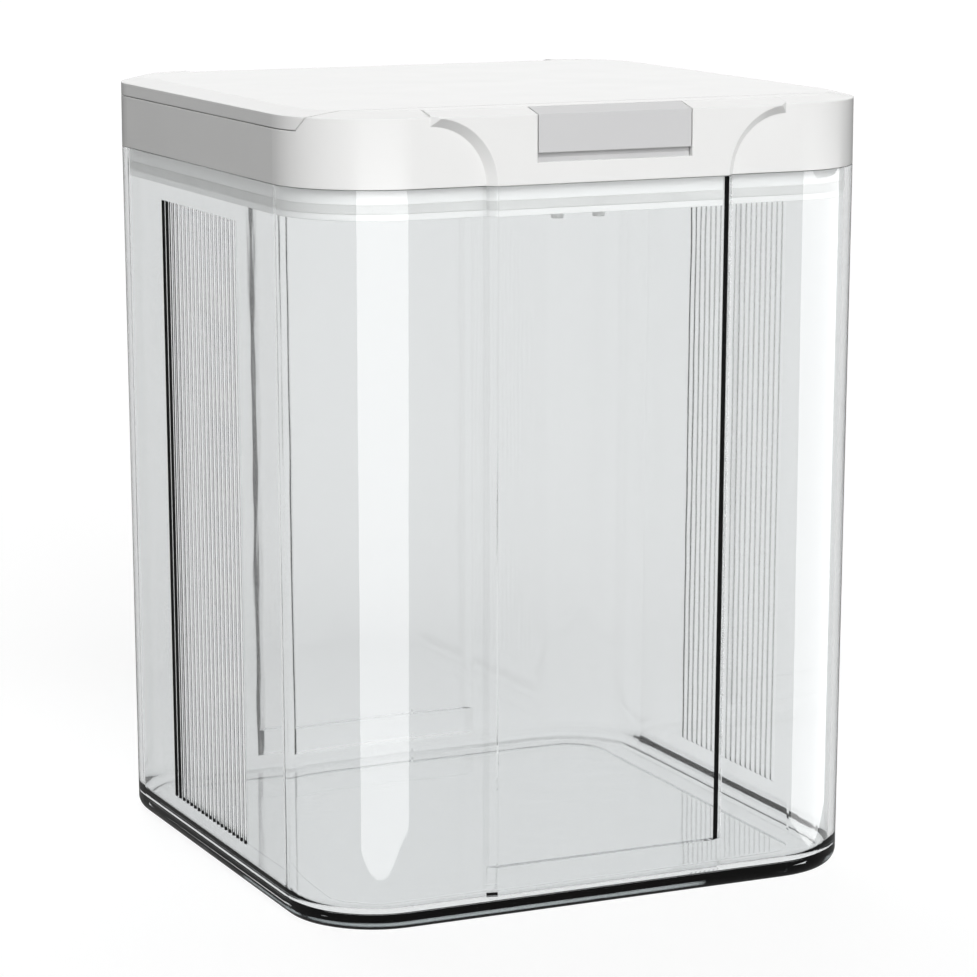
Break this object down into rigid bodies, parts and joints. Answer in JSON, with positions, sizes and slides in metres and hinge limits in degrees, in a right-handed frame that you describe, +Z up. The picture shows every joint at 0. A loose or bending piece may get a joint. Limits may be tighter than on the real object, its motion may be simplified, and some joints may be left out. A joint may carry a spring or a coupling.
{
  "type": "pet food storage container",
  "caption": "Clear square food storage canister with fluted sides and a white lid whose push button frees a hinged flip cover.",
  "frame": {"origin": "middle of the foot, on the surface it stands on", "axes": "+Z up out of the mouth, -Y towards the push button, +X to the right of someone facing the button"},
  "size_m": [0.22, 0.226, 0.283],
  "materials": {
    "clear_plastic": "gloss",
    "white_plastic": "gloss",
    "grey_plastic": "satin",
    "silicone": "matte",
    "steel": "satin",
    "packet_paper": "matte"
  },
  "bodies": {
    "tank": {"tank_body": "clear_plastic"},
    "lid": {"lid_frame": "white_plastic", "lid_plug": "white_plastic", "plug_gasket": "silicone", "frame_screws": "steel", "hinge_pins": "steel", "latch_pin": "steel", "latch_spring": "steel", "button_springs": "steel", "latch_retainer": "white_plastic", "retainer_screws": "steel"},
    "cover": {"flip_cover": "white_plastic", "cover_liner": "white_plastic", "cover_gasket": "silicone", "cover_screws": "steel", "desiccant_packet": "packet_paper"},
    "cap": {"desiccant_cap": "white_plastic"},
    "push_button": {"button": "grey_plastic"},
    "latch": {"latch_hook": "grey_plastic"}
  },
  "joints": [
    {"name": "lid_lift", "type": "slide", "parent": "tank", "child": "lid", "axis": [0, 0, 1], "range_m": [0, 0.08]},
    {"name": "cover_flip", "type": "hinge", "parent": "lid", "child": "cover", "pos_m": [0, 0.1, 0.2776], "axis": [-1, 0, 0], "range_deg": [0, 92]},
    {"name": "cap_turn", "type": "hinge", "parent": "cover", "child": "cap", "pos_m": [0, 0.0075, 0.269], "axis": [0, 0, 1], "range_deg": [0, 40]},
    {"name": "button_press", "type": "slide", "parent": "lid", "child": "push_button", "axis": [0, 0, -1], "range_m": [0, 0.0028], "stiffness_N_per_m": 300, "springref_m": -0.002, "deforming": ["button_springs"]},
    {"name": "latch_rock", "type": "hinge", "parent": "lid", "child": "latch", "pos_m": [0, -0.095, 0.2634], "axis": [1, 0, 0], "range_deg": [0, 20.5]}
  ],
  "couplings": [
    {"joint": "latch_rock", "follows": "button_press", "rad_per_m": 124.6}
  ]
}
